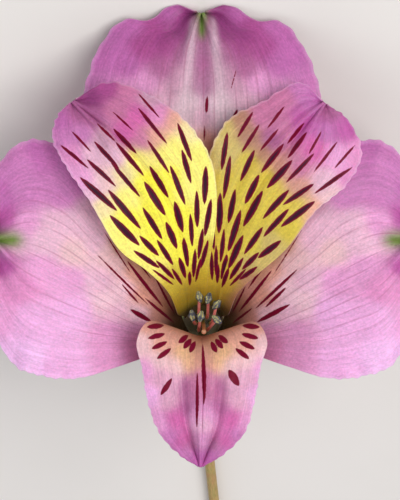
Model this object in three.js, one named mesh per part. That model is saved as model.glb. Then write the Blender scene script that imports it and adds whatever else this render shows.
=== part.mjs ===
// A cut alstroemeria, lying as it was put down: one bloom on its stem, with four leaves.
// Millimetres, +Z up. The stem runs along +Y on the ground, the bloom faces -Y and up.
import * as THREE from "three";

// ---- driving dimensions ----
const BLOOM_WIDTH = 68; // across the two side tepals
const BLOOM_DEPTH = 22; // from the mouth of the throat down to the foot of the tepals
const BLOOM_LEAN = 35; // degrees between the bloom's axis and the vertical
const TEPAL_THICKNESS = 0.7;

const OVARY_TOP_DIAMETER = 7.4;
const OVARY_NECK_DIAMETER = 3.0;
const OVARY_LENGTH = 8.5;
const OVARY_RIB = 0.3; // how far each of the six ribs stands out
const CLAW_GAP = 1.25; // between the feet of neighbouring tepals, on the ovary

const FILAMENT_DIAMETER = 0.5;
const FILAMENT_RING = 1.5; // radius on which the six filaments stand
const BUNDLE_RING = 1.15; // radius of their bundle in the throat
const ANTHER_LENGTH = 1.9;
const ANTHER_WIDTH = 0.95;
const STYLE_DIAMETER = 0.55;

const STEM_DIAMETER = 2.0;
const STEM_LENGTH = 100; // of the straight lying part
const BEND_REACH = 13; // how far along the ground the bend behind the ovary takes
const STEM_SWAY = 3; // how far the lying stem bows to one side

const LEAF_THICKNESS = 0.7;
const LEAF_FOOT_HALF_WIDTH = 0.7;
const JOIN_GAP = 0.3; // between a piece and the one that it grows on

// ---- colours ----
const PINK = 0xd98cc0;
const CREAM_YELLOW = 0xe8c94a;
const ROSE = 0xdc86ab;
const FILAMENT_PINK = 0xd08a80;
const ANTHER_SLATE = 0x5d5640;
const OVARY_GREEN = 0x8a9a4e;
const STEM_GREEN = 0xa99a55;
const LEAF_GREEN = 0x6f8a45;

// The bloom's own axes: u to its right and v to its top, as it is looked into, and w out of its
// throat. Outlines below are drawn in u and v for a bloom of this width and depth.
const DRAWN_WIDTH = 68;
const DRAWN_DEPTH = 22;
const SPREAD = BLOOM_WIDTH / DRAWN_WIDTH;
const DEEPEN = BLOOM_DEPTH / DRAWN_DEPTH;
const CLAW_RING = OVARY_TOP_DIAMETER / 2 - TEPAL_THICKNESS;
const CLAW_HALF_TURN = (30 * (2 * Math.PI * CLAW_RING - 6 * CLAW_GAP)) / (2 * Math.PI * CLAW_RING);
const FOOT = [CLAW_RING / SPREAD, -DRAWN_DEPTH];

// How deep the outer and the inner tepals lie at each distance from the bloom's axis: [radius, w].
const OUTER_FUNNEL = [FOOT, [4.2, -19], [6, -14.5], [8.4, -10], [12, -6.2], [18, -2.8],
  [28, -0.8], [38, -1], [46, -2.8], [54, -6]];
const INNER_FUNNEL = [FOOT, [3.9, -14], [5.4, -8], [8, -3.4], [12, -0.2], [20, 2.8],
  [30, 3.9], [38, 3.4], [46, 1.6]];
// And the lower inner tepal at even steps from its foot to its tip: up the throat, over, and down.
const LOWER_RISE = [-22, -12.5, -1, 2.6, 3.8, 3.6, 2.4, 0.8, -0.8];

// Each tepal: clock is the angle of its foot on the ovary, midrib and the two edges are [u, v]
// points at even steps from foot to tip (the foot itself is left out), left and right are as seen
// with the tip upwards. cup is how far the edges stand in front of the midrib, lift how far the
// whole blade does, both at even steps from foot to tip.
const TEPALS = {
  outer_top: {
    colour: PINK, clock: 90, depth: OUTER_FUNNEL,
    midrib: [[0, 11], [0, 25], [0, 39], [-0.3, 48.2]],
    left: [[-2, 6], [-5, 11.2], [-11.5, 17.8], [-17.2, 26], [-18.9, 34.5], [-16.7, 43.2],
      [-9.8, 48.8], [-0.9, 48.4]],
    right: [[2, 6], [5, 11.2], [11.5, 17.8], [17, 26], [18.5, 34.5], [16.3, 43.2],
      [9.5, 48.8], [0.3, 48.4]],
    cup: [0.3, 1, 0.6, -1.2, 0], lift: [0, 0, 0, 0, 0],
  },
  outer_left: {
    colour: PINK, clock: 210, depth: OUTER_FUNNEL,
    midrib: [[-8.8, 0.4], [-17, 5.8], [-25.6, 10.6], [-32.4, 13.3]],
    left: [[-4.7, -3.9], [-9, -5.2], [-14, -6.8], [-19.5, -8.3], [-25.2, -7.9], [-30.2, -5.4],
      [-33.9, 3.5], [-32.5, 12.8]],
    right: [[-5.2, 3.8], [-8.2, 9.3], [-12.6, 14.6], [-17.8, 21], [-22.5, 27.8], [-28.6, 28.4],
      [-33.5, 22], [-32.4, 13.9]],
    cup: [0.3, 0.8, 0.4, -1, 0], lift: [0, 0.4, 1.4, 1.8, 1.4],
  },
  inner_upper_left: {
    colour: CREAM_YELLOW, clock: 150, depth: INNER_FUNNEL,
    midrib: [[-2.6, 8.4], [-5.4, 18.3], [-12.2, 27.8], [-20.2, 34.7]],
    left: [[-4.2, 4.6], [-8.9, 8.6], [-13.2, 12], [-17.4, 19], [-21.1, 24.4], [-23.3, 28.8],
      [-22.6, 32.4], [-20.7, 34.5]],
    right: [[-0.6, 4.4], [1.2, 11.2], [2.1, 18.5], [1.2, 25.6], [-2.7, 31.6], [-8.7, 35.9],
      [-14.8, 37.7], [-19.7, 35.1]],
    cup: [0.2, 0.8, 0.2, -0.8, 0], lift: [0, 1.2, 2.2, 1.6, 0.8],
  },
  inner_upper_right: {
    colour: CREAM_YELLOW, clock: 30, depth: INNER_FUNNEL,
    midrib: [[3.3, 8.2], [7.6, 19.8], [13.2, 27.6], [18.8, 34.5]],
    left: [[0.6, 4.5], [0.7, 11.8], [0.2, 19.5], [0.9, 26.3], [3.9, 31.9], [9.2, 34.7],
      [14.8, 37.7], [18.4, 34.9]],
    right: [[4.3, 4.6], [8.9, 8.3], [13, 12], [17.3, 17.6], [22.2, 21.8], [24.6, 26.8],
      [22.4, 31.9], [19.3, 34.2]],
    cup: [0.2, 0.6, 0, -0.8, 0], lift: [0, 0, 0, 0.2, 0.4],
  },
  inner_lower: {
    colour: ROSE, clock: 270, depth: LOWER_RISE,
    midrib: [[-0.3, -2.5], [-0.2, -8.4], [-0.3, -15.6], [-0.4, -22.2]],
    left: [[1.7, -2.6], [7.7, 0.5], [9.9, -2.4], [8.9, -6.4], [8, -11.5], [6.5, -16.6],
      [3.1, -20.2], [0.1, -22]],
    right: [[-1.7, -2.6], [-8, 0.6], [-10.3, -2.4], [-9.5, -6.6], [-8.6, -11.8], [-6.8, -16.8],
      [-3.5, -20.4], [-0.9, -22]],
    cup: [0.1, 1.4, -0.6, -1, 0], lift: [0, 0, 0, 0, 0],
  },
};

// Where each anther hangs, [u, v, w], and how far it is turned in degrees; the filament in the
// same place on the list ends behind it. They are drawn for a bloom of any size.
const ANTHERS = [
  { at: [2.1, 3.2, 0.8], turn: -40 },
  { at: [0.8, 4.2, 1.5], turn: -15 },
  { at: [-0.6, 4.4, 0.4], turn: 14 },
  { at: [-1.7, 1.5, 1.2], turn: 10 },
  { at: [-0.4, 1.4, 2.8], turn: -12 },
  { at: [2.1, 0.9, 2.2], turn: 50 },
];

// Each leaf: how far from the cut end it stands on the stem, on which side, its length and half width, the
// angle that it makes with the stem, how far it curls round in its plane and how high it arches.
const LEAVES = [
  { fromEnd: 47, side: 1, length: 30, half: 3.0, angle: 52, curl: -16, arch: 4 },
  { fromEnd: 36, side: -1, length: 44, half: 4.0, angle: 42, curl: 26, arch: 6 },
  { fromEnd: 26, side: 1, length: 52, half: 4.4, angle: 34, curl: 30, arch: 6 },
  { fromEnd: 14, side: -1, length: 44, half: 3.8, angle: 58, curl: -20, arch: 5 },
];

// ---- curves and solids ----
const smooth = (points) => new THREE.CatmullRomCurve3(points, false, "catmullrom", 0.5);
const flatCurve = (points) => smooth(points.map(([u, v]) => new THREE.Vector3(u, v, 0)));
const listCurve = (values) => smooth(values.map((value) => new THREE.Vector3(value, 0, 0)));
const polar = (radius, degrees) => {
  const angle = THREE.MathUtils.degToRad(degrees);
  return [radius * Math.cos(angle), radius * Math.sin(angle)];
};

// Linear between the [x, y] entries of a list.
function lookUp(list, x) {
  const last = list.length - 2;
  const i = Math.min(last, Math.max(0, list.findIndex((entry) => entry[0] > x) - 1));
  const at = x >= list[last + 1][0] ? last : i;
  const [x0, y0] = list[at];
  const [x1, y1] = list[at + 1];
  return y0 + ((y1 - y0) * (x - x0)) / (x1 - x0);
}

// A closed sheet of even thickness about the surface point(s, q): s runs from foot to tip, 0 to 1,
// and q across, -1 to 1. A box of segments gives the faces, and its corners are moved.
function sheet(point, thickness, acrossSteps, alongSteps) {
  const geometry = new THREE.BoxGeometry(2, 1, 1, acrossSteps, alongSteps, 1);
  const corners = geometry.attributes.position;
  const step = 0.004;
  for (let i = 0; i < corners.count; i += 1) {
    const q = corners.getX(i);
    const s = corners.getY(i) + 0.5;
    const s0 = Math.max(0, s - step);
    const q0 = Math.max(-1, q - step);
    const along = point(Math.min(1, s + step), q).sub(point(s0, q));
    const across = point(s, Math.min(1, q + step)).sub(point(s, q0));
    const normal = across.cross(along).normalize();
    const place = point(s, q).addScaledVector(normal, corners.getZ(i) * thickness);
    corners.setXYZ(i, place.x, place.y, place.z);
  }
  return geometry;
}

// A round rod along a curve.
function rod(curve, diameter, sides, steps) {
  const section = new THREE.Shape();
  for (let i = 0; i < sides; i += 1) {
    const [x, y] = polar(diameter / 2, (360 * i) / sides);
    if (i === 0) section.moveTo(x, y);
    else section.lineTo(x, y);
  }
  section.closePath();
  return new THREE.ExtrudeGeometry(section, { steps, extrudePath: curve, bevelEnabled: false });
}

function piece(name, geometry, colour, roughness = 0.55) {
  const material = new THREE.MeshStandardMaterial({ color: colour, roughness, metalness: 0 });
  const mesh = new THREE.Mesh(geometry, material);
  mesh.name = name;
  return mesh;
}

// ---- tepals ----
function tepalSurface(tepal) {
  const foot = (turn) => {
    const [u, v] = polar(CLAW_RING, tepal.clock + turn);
    return [u / SPREAD, v / SPREAD];
  };
  const midrib = flatCurve([foot(0), ...tepal.midrib]);
  const left = flatCurve([foot(CLAW_HALF_TURN), ...tepal.left]);
  const right = flatCurve([foot(-CLAW_HALF_TURN), ...tepal.right]);
  const cup = listCurve(tepal.cup);
  const lift = listCurve(tepal.lift);
  const rise = Array.isArray(tepal.depth[0]) ? null : listCurve(tepal.depth);
  return (s, q) => {
    const place = midrib.getPoint(s);
    const edge = (q < 0 ? left : right).getPoint(s);
    place.lerp(edge, Math.abs(q));
    const depth = rise ? rise.getPoint(s).x : lookUp(tepal.depth, Math.hypot(place.x, place.y));
    place.z = Math.max(depth, -DRAWN_DEPTH) + lift.getPoint(s).x + cup.getPoint(s).x * q * q;
    return place.multiply(new THREE.Vector3(SPREAD, SPREAD, DEEPEN));
  };
}

function mirrored(tepal) {
  const flip = (points) => points.map(([u, v]) => [-u, v]);
  return { ...tepal, clock: 180 - tepal.clock, midrib: flip(tepal.midrib),
    left: flip(tepal.right), right: flip(tepal.left) };
}

const bloom = new THREE.Group();
for (const [name, tepal] of Object.entries({ ...TEPALS, outer_right: mirrored(TEPALS.outer_left) })) {
  bloom.add(piece(name, sheet(tepalSurface(tepal), TEPAL_THICKNESS, 10, 20), tepal.colour));
}

// ---- ovary: a ribbed cone with a round shoulder, below the foot of the tepals ----
const ovaryTop = -BLOOM_DEPTH - JOIN_GAP - TEPAL_THICKNESS / 2;
const ovaryEnd = ovaryTop - OVARY_LENGTH;
function ovary() {
  const neck = OVARY_NECK_DIAMETER / 2;
  const top = OVARY_TOP_DIAMETER / 2;
  const profile = [[0, 0], [neck, 0]];
  for (const share of [0.2, 0.45, 0.7, 0.9, 1]) {
    profile.push([neck + (top - neck) * Math.sin((share * Math.PI) / 2), share * OVARY_LENGTH]);
  }
  profile.push([0, OVARY_LENGTH]);
  const outline = profile.map(([x, y]) => new THREE.Vector2(x, y));
  const geometry = new THREE.LatheGeometry(outline, 24);
  const corners = geometry.attributes.position;
  for (let i = 0; i < corners.count; i += 1) {
    const [x, z] = [corners.getX(i), corners.getZ(i)];
    const radius = Math.hypot(x, z);
    const rib = radius > neck ? OVARY_RIB * Math.cos(6 * Math.atan2(z, x)) : 0;
    const grow = radius > 0 ? (radius - OVARY_RIB + rib) / radius : 1;
    if (radius > neck) corners.setXYZ(i, x * grow, corners.getY(i), z * grow);
  }
  geometry.rotateX(Math.PI / 2).translate(0, 0, ovaryEnd);
  return geometry;
}
bloom.add(piece("ovary", ovary(), OVARY_GREEN));

// ---- stamens and style, standing on the ovary and gathered in the throat ----
const stamenFoot = ovaryTop + JOIN_GAP;
ANTHERS.forEach(({ at, turn }, i) => {
  const clock = 60 * i;
  const [footU, footV] = polar(FILAMENT_RING, clock);
  const [bundleU, bundleV] = polar(BUNDLE_RING, clock);
  const tip = new THREE.Vector3(...at);
  const behind = tip.clone().add(new THREE.Vector3(0, 0, -ANTHER_WIDTH / 2 - JOIN_GAP));
  const path = smooth([
    new THREE.Vector3(footU, footV, stamenFoot),
    new THREE.Vector3(bundleU, bundleV, stamenFoot * 0.6),
    new THREE.Vector3(bundleU * 1.2, bundleV * 1.1 + 0.2, stamenFoot * 0.25),
    behind,
  ]);
  bloom.add(piece(`filament_${i + 1}`, rod(path, FILAMENT_DIAMETER, 8, 14), FILAMENT_PINK));
  const anther = piece(`anther_${i + 1}`, new THREE.SphereGeometry(0.5, 12, 8), ANTHER_SLATE, 0.8);
  anther.scale.set(ANTHER_WIDTH, ANTHER_LENGTH, ANTHER_WIDTH);
  anther.rotation.z = THREE.MathUtils.degToRad(turn);
  anther.position.copy(tip);
  bloom.add(anther);
});
const stylePath = smooth([
  new THREE.Vector3(0, 0, stamenFoot),
  new THREE.Vector3(0, 0, stamenFoot * 0.6),
  new THREE.Vector3(0.1, -0.4, stamenFoot * 0.25),
  new THREE.Vector3(0.1, -1.1, 0.2),
]);
bloom.add(piece("style", rod(stylePath, STYLE_DIAMETER, 8, 14), FILAMENT_PINK));

// ---- the bloom leans so that its top tepal rests on the ground ----
const lean = THREE.MathUtils.degToRad(BLOOM_LEAN);
const bloomU = new THREE.Vector3(-1, 0, 0);
const bloomV = new THREE.Vector3(0, -Math.cos(lean), -Math.sin(lean));
const bloomW = new THREE.Vector3(0, -Math.sin(lean), Math.cos(lean));
bloom.quaternion.setFromRotationMatrix(new THREE.Matrix4().makeBasis(bloomU, bloomV, bloomW));
bloom.updateMatrixWorld(true);
const ground = new THREE.Box3().setFromObject(bloom, true).min.z;

// ---- stem: out of the ovary, over a bend and along the ground ----
const stemTop = bloomW.clone().multiplyScalar(ovaryEnd - JOIN_GAP);
const stemHeight = ground + STEM_DIAMETER / 2;
const lieStart = new THREE.Vector3(0, stemTop.y + BEND_REACH, stemHeight);
const bend = new THREE.CubicBezierCurve3(
  stemTop,
  stemTop.clone().addScaledVector(bloomW, -BEND_REACH * 0.4),
  lieStart.clone().add(new THREE.Vector3(0, -BEND_REACH * 0.5, 0)),
  lieStart,
);
const stemAt = (along) => {
  const sway = STEM_SWAY * Math.sin((Math.PI * along) / STEM_LENGTH) ** 2;
  return lieStart.clone().add(new THREE.Vector3(-sway, along, 0));
};
const stemPoints = [...bend.getPoints(6)];
for (let i = 1; i <= 10; i += 1) stemPoints.push(stemAt((STEM_LENGTH * i) / 10));
const flower = new THREE.Group();
flower.add(bloom);
flower.add(piece("stem", rod(smooth(stemPoints), STEM_DIAMETER, 12, 64), STEM_GREEN));

// ---- leaves: a narrow foot that turns over once, then a blade that lies on the ground ----
function leafSurface({ fromEnd, side, length, half, angle, curl, arch }) {
  const foot = stemAt(STEM_LENGTH - fromEnd);
  const [footAcross, footAlong] = polar(LEAF_FOOT_HALF_WIDTH, angle);
  foot.x += side * (STEM_DIAMETER / 2 + JOIN_GAP + footAcross + footAlong / 2);
  const rest = ground + LEAF_THICKNESS / 2;
  return (s, q) => {
    const heading = THREE.MathUtils.degToRad(angle + curl * s * 0.5);
    const place = foot.clone();
    place.x += side * Math.sin(heading) * length * s;
    place.y -= Math.cos(heading) * length * s;
    const hump = arch * Math.sin(Math.PI * Math.min(1, s / 0.7)) ** 2;
    place.z = THREE.MathUtils.lerp(foot.z, rest, Math.min(1, s / 0.5)) + hump;
    const blade = Math.sin(Math.PI * s ** 0.85) ** 0.8;
    const width = LEAF_FOOT_HALF_WIDTH * (1 - s) + half * blade + 0.25 * s;
    const twist = Math.PI * THREE.MathUtils.smoothstep(s, 0.02, 0.22);
    const sideways = new THREE.Vector3(side * Math.cos(heading), Math.sin(heading), 0);
    place.addScaledVector(sideways, -side * q * width * Math.cos(twist));
    place.z += q * width * Math.sin(twist) + 0.12 * width * Math.abs(q) * s;
    return place;
  };
}
LEAVES.forEach((leaf, i) => {
  flower.add(piece(`leaf_${i + 1}`, sheet(leafSurface(leaf), LEAF_THICKNESS, 4, 24), LEAF_GREEN));
});

// The origin is the middle of the flower's box, on the ground.
flower.updateMatrixWorld(true);
const box = new THREE.Box3().setFromObject(flower, true);
const middle = box.getCenter(new THREE.Vector3());
flower.position.set(-middle.x, -middle.y, -box.min.z);

export default flower;
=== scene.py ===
"""A cut alstroemeria lying on a pale floor: one bloom of six tepals, its stamens, ovary, stem and leaves."""
import math

import bpy
import numpy as np
from mathutils import Matrix, Vector


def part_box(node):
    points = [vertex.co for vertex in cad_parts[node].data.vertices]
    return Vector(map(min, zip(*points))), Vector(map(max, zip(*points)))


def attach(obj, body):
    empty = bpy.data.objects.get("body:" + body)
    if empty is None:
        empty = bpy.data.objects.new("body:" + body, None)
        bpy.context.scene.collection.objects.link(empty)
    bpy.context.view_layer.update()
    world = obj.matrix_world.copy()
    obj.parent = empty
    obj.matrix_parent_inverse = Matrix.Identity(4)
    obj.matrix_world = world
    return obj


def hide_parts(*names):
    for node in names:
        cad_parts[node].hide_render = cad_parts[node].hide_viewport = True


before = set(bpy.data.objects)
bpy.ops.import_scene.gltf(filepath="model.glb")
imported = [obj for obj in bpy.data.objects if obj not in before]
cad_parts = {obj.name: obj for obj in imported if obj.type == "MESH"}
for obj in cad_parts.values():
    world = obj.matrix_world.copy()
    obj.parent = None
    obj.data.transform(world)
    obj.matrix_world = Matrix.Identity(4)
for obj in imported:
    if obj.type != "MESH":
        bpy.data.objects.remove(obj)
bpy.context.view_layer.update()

MM = 0.001

# ---- sizes of the flower, in millimetres, as the CAD model has them ----
BLOOM_DEPTH = 22.0
BLOOM_LEAN = math.radians(35)
TEPAL_THICKNESS = 0.7
PETAL_THICKNESS = 0.36
CLAW_RING = 3.0
CLAW_HALF_TURN = 18.1
OVARY_TOP = -22.65
OVARY_LENGTH = 8.5
OVARY_NECK = 1.5
OVARY_SHOULDER = 3.7
FILAMENT_RING = 1.5
BUNDLE_RING = 1.15
ANTHER_LENGTH = 1.9
ANTHER_WIDTH = 0.95
STEM_DIAMETER = 2.0
STEM_LENGTH = 100.0
BEND_REACH = 13.0
STEM_SWAY = 3.0
JOIN_GAP = 0.3
REST_HEIGHT = 0.3  # of the middle of a blade where it lies on the ground

# The bloom's own axes in the row frame: u to its right and v to its top as it is looked into,
# w out of its throat.
BLOOM_U = np.array([-1.0, 0.0, 0.0])
BLOOM_V = np.array([0.0, -math.cos(BLOOM_LEAN), -math.sin(BLOOM_LEAN)])
BLOOM_W = np.array([0.0, -math.sin(BLOOM_LEAN), math.cos(BLOOM_LEAN)])

# ---- colours, by the names that they go by on this flower ----
PETAL_COLOURS = {
    "plum": "8e3676",
    "plum_pink": "a94a8c",
    "magenta": "b9559f",
    "orchid": "bd68ab",
    "dusk": "ab5e90",
    "rose_lilac": "c87ab6",
    "rose_mauve": "c4749e",
    "hot_pink": "cf62a6",
    "pink": "dc8cc0",
    "candy": "e29ccd",
    "lilac": "e9aadc",
    "lilac_light": "ecb6e6",
    "pale_pink": "e4b4cc",
    "shell": "e6bcc2",
    "grey_pink": "c493ac",
    "mauve": "a5688e",
    "green_tip": "7f8540",
    "leaf_tip": "6f8a3c",
    "cream": "f0dca0",
    "lemon": "fbf07a",
    "yellow": "faf04a",
    "straw": "cdb66a",
    "shade_yellow": "d6c044",
    "gold": "dcc03c",
    "ochre": "b08a32",
    "peach": "e2a592",
    "apricot": "e4b486",
    "orange_pink": "cf9486",
    "tan_mauve": "b3806c",
    "tan": "b98468",
    "russet": "8a5440",
    "brown": "6e4028",
    "umber": "432a12",
    "white_pink": "dcc0cc",
    "rosy": "dba2be",
    "white_blush": "efc6d4",
}
STREAK_EDGE = "74062a"
STREAK_CORE = "3c1428"
STREAK_SHOWN_THROUGH = "8a3a5a"  # on the back of a tepal


def linear(code):
    """Linear red, green and blue of a six-digit colour code."""
    srgb = np.array([int(code[i : i + 2], 16) for i in (0, 2, 4)]) / 255
    return np.where(srgb <= 0.04045, srgb / 12.92, ((srgb + 0.055) / 1.055) ** 2.4)


# How deep the outer and the inner tepals lie at each distance from the bloom's axis: (radius, w).
OUTER_FUNNEL = [(3, -22), (4.2, -19), (6, -14.5), (8.4, -10), (12, -6.2), (18, -2.8),
                (28, -0.8), (38, -1), (46, -2.8), (54, -6)]
INNER_FUNNEL = [(3, -22), (3.9, -14), (5.4, -8), (8, -3.4), (12, -0.2), (20, 2.8),
                (30, 3.9), (38, 3.4), (46, 1.6)]
LOWER_RISE = [-22, -12.5, -1, 2.6, 3.8, 3.6, 2.4, 0.8, -0.8]

# How the dark streaks of a tepal lie along its veins: how many lines of them, how far across the
# outermost lines stand, where along the tepal they begin and end, how many follow one another on a
# line, how much of each step is streak, and the greatest width in millimetres.
STREAKS_UPPER = [
    dict(lines=8, across=(-0.76, 0.76), reach=(0.18, 0.84), dashes=5, fill=0.84, width=1.0),
]
STREAKS_LOWER = [
    dict(lines=2, across=(-0.03, 0.05), reach=(0.3, 0.74), dashes=1, fill=0.95, width=0.75),
    dict(lines=2, across=(-0.55, 0.55), reach=(0.48, 0.66), dashes=1, fill=0.9, width=1.2),
]
STREAKS_SIDE = [
    dict(lines=3, across=(0.3, 0.84), reach=(0.1, 0.5), dashes=2, fill=0.95, width=0.5),
    dict(lines=2, across=(0.0, 0.2), reach=(0.24, 0.4), dashes=1, fill=0.9, width=0.85),
]
STREAKS_TOP = [
    dict(lines=2, across=(0.02, 0.26), reach=(0.56, 0.76), dashes=2, fill=0.6, width=0.5),
]
STREAK_LIMIT = 0.93  # how far across a tepal a streak may reach
NO_STREAK = -9.0  # millimetres inside a streak, where there is none near
# The lower tepal's ears carry rings of streaks that fan out from the throat, on both sides: the
# radii each ring runs between, the angles of its first and last streak, how many, and the width.
EAR_RINGS = [
    dict(radii=(6.2, 8.8), angles=(-2, -36), rays=4, width=0.8),
    dict(radii=(3.0, 4.8), angles=(-36, -64), rays=3, width=0.85),
]

# The colour of a tepal's face at places in u and v; between them the colours run together. Besides the
# tepals' own colours, the tables hold painted shade: browns and tans deep in the throat, tan bands under the
# inner tepals' edges, a darker mauve beside the lower tepal's shoulders and a duller yellow over the right
# inner tepal.
PAINT_TOP_HALF = [
    (18.2, 34, "rose_lilac"), (16.6, 38, "rose_lilac"), (17, 41, "orchid"), (14.2, 44, "orchid"),
    (11, 47.2, "orchid"), (12, 41, "orchid"), (9.4, 43.4, "plum_pink"), (7.9, 46.4, "plum_pink"),
    (6.2, 45.4, "plum"), (5.4, 43.4, "plum_pink"), (5, 49, "orchid"), (3.9, 47.4, "plum"),
    (2.9, 48.8, "plum"), (2.9, 45.6, "plum"), (8.4, 37.6, "candy"), (12.4, 36, "candy"),
    (7, 34.6, "pale_pink"), (6.4, 39.8, "dusk"), (5.4, 37, "grey_pink"),
    (3.4, 42.4, "mauve"), (3.4, 39, "grey_pink"),
    (1.1, 42.8, "mauve"), (1.2, 38.6, "mauve"), (2.2, 34.6, "white_pink"), (4, 32, "white_pink"),
    (8, 30, "grey_pink"), (8, 20, "orange_pink"), (14, 28, "mauve"), (13, 33, "candy"),
]
PAINT_TOP_MIDDLE = [
    (0, 47.5, "mauve"), (0, 45, "mauve"), (0, 41, "dusk"),
    (0, 37, "mauve"), (0, 33, "grey_pink"), (0, 28, "orange_pink"), (0, 22, "straw"),
    # Down the claw to the throat the colour darkens to umber: painted shade over the claw's own yellow and
    # brown.
    (0, 13, "shade_yellow"), (0, 8, "ochre"), (0, 4, "umber"),
]
PAINT_SIDE = [
    (-30, 25, "rose_lilac"), (-24, 27, "orchid"), (-31.6, 20, "orchid"), (-30.8, 16.6, "magenta"),
    (-32.6, 15.4, "plum"), (-28, 21, "rose_lilac"), (-22, 21, "rose_lilac"), (-19, 22.6, "orchid"),
    (-31.6, 15, "orchid"), (-31.6, 11.4, "rose_lilac"), (-29.4, 13, "pale_pink"),
    (-28, 15.6, "candy"), (-25, 12.6, "pale_pink"), (-23, 15, "pale_pink"), (-18.6, 15.4, "pale_pink"),
    (-17, 18.4, "grey_pink"), (-15, 11.4, "shell"), (-20, 11.4, "shell"), (-25.5, 9, "candy"),
    (-31.4, 9.4, "magenta"), (-31, 5.6, "pink"), (-28.2, 6.4, "pink"), (-21, 7, "candy"),
    (-16, 7, "pale_pink"), (-32, 2, "candy"), (-27, 0.5, "lilac"), (-20, 2, "lilac"),
    (-28, -5, "lilac_light"), (-21, -6, "lilac"), (-15, -5.4, "candy"), (-14.6, -1, "candy"),
    (-14, 2, "pale_pink"), (-10.6, -1, "candy"), (-10.5, -3, "pink"), (-12.4, 6.2, "white_blush"),
    (-15, 3.6, "white_blush"),
    # The tans and the peach on this row and the next lie along the inner tepal's lower edge: partly the side
    # tepal's own colour, partly painted shadow of that edge.
    (-10.4, 1.6, "white_blush"), (-13.4, 12.2, "tan"), (-11.3, 10.6, "tan"), (-9.3, 8.8, "tan"),
    (-13.8, 9.6, "shell"), (-16.6, 12.8, "pale_pink"), (-11, 7.6, "peach"),
    # Towards the throat the tan, russet and brown are partly the claw's own colour and partly painted shade;
    # the rose_mauve at (-9, -3.6) is painted shade beside the lower tepal's shoulder.
    (-7.6, 5.4, "orange_pink"), (-9.4, 4.4, "peach"), (-6.2, 2.8, "tan"), (-7.4, 0.6, "orange_pink"),
    (-9, -3.6, "rose_mauve"), (-4.8, 5, "tan"), (-4.4, -1, "brown"), (-4.4, 2, "russet"),
]
PAINT_UPPER_LEFT = [
    (-15, 36.7, "plum_pink"), (-17.4, 35, "plum"), (-11.4, 36.4, "rose_mauve"),
    (-13.4, 33.4, "rose_mauve"), (-8.3, 34.8, "grey_pink"), (-9.9, 32.6, "hot_pink"),
    (-19.7, 33, "dusk"), (-22, 31.8, "orchid"), (-17.2, 32.4, "dusk"), (-22.4, 29, "rose_lilac"),
    (-20, 26.2, "pink"), (-18.8, 29.4, "rose_lilac"), (-15.6, 28.6, "grey_pink"),
    (-17.4, 26.6, "pale_pink"), (-13.4, 26, "pale_pink"), (-12, 29.8, "hot_pink"),
    (-9.4, 28.6, "rose_mauve"), (-7.4, 28.8, "peach"), (-4.8, 31.6, "peach"), (-6.7, 32.4, "pink"),
    (-2.6, 30.2, "cream"), (0.4, 26.4, "lemon"), (-6, 26.4, "lemon"), (-4, 27.4, "lemon"),
    (-10.2, 25.6, "lemon"), (-12.4, 23, "cream"), (-15, 22.2, "shell"), (-17.2, 20.6, "pale_pink"),
    (-18.8, 22.2, "candy"), (-20.4, 24, "candy"), (-15.2, 18.2, "cream"), (-11.9, 19.6, "lemon"),
    (-14, 15.2, "lemon"), (-12, 16.6, "yellow"), (-9, 22, "yellow"), (-5.4, 22.6, "yellow"),
    (-2, 22, "lemon"), (1, 21, "lemon"), (-8, 17.6, "yellow"), (-3, 16, "yellow"),
    (1.4, 16, "lemon"), (-11.4, 11.6, "lemon"), (-7.4, 12.6, "yellow"), (-7.4, 9, "lemon"),
    (-3, 11, "yellow"), (1, 11, "shade_yellow"), (-4.6, 7.4, "shade_yellow"), (-1, 7.4, "gold"),
    # The brown at the foot is partly painted shade in the throat.
    (-3.6, 5, "shade_yellow"), (-0.4, 4.6, "gold"), (-2.8, 3.2, "gold"), (-2.2, 1.2, "brown"),
]
# The right inner tepal is painted duller than the left, with shade_yellow over most of its yellow: painted
# shade over its own colour. The tan and brown at its foot are painted shade in the throat as well.
PAINT_UPPER_RIGHT = [
    (15.1, 37, "rose_lilac"), (12.3, 35.2, "rose_mauve"), (16.8, 34.8, "orchid"),
    (19.4, 33.2, "dusk"), (22, 30.2, "magenta"), (24, 27, "pink"), (20.6, 26.4, "candy"),
    (22.8, 22.8, "pink"), (17.4, 27.2, "hot_pink"), (19, 30, "orchid"), (15, 31.6, "magenta"),
    (12.4, 31, "rose_mauve"), (9.2, 32.4, "rose_mauve"), (10.6, 28.6, "dusk"),
    (5.6, 31.6, "tan_mauve"), (7, 29, "tan_mauve"), (3.6, 30.8, "straw"), (1.6, 27.6, "straw"),
    (4.5, 27.4, "straw"), (7.2, 25.6, "shade_yellow"), (9, 26.8, "tan_mauve"),
    (12.2, 24.4, "orange_pink"), (14.6, 24.6, "rose_mauve"), (10.2, 22.6, "shade_yellow"),
    (15, 21.2, "orange_pink"), (18.6, 22, "pale_pink"), (19.6, 20, "shell"), (17, 17.8, "peach"),
    (14.6, 18.4, "shade_yellow"), (13.2, 15.4, "shade_yellow"), (11.6, 19.2, "shade_yellow"),
    (5, 21, "shade_yellow"), (2.6, 20, "shade_yellow"), (8, 17, "shade_yellow"),
    (4.5, 15, "shade_yellow"), (10.4, 12.6, "straw"), (7.4, 12.6, "shade_yellow"),
    (2, 12, "gold"), (3.6, 8.8, "gold"), (7.4, 9.2, "straw"), (11, 9.6, "straw"),
    (7.6, 6.9, "tan"), (4, 5.6, "gold"), (2, 5, "gold"), (5.2, 4.6, "tan"), (2.4, 1.4, "brown"),
]
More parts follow.
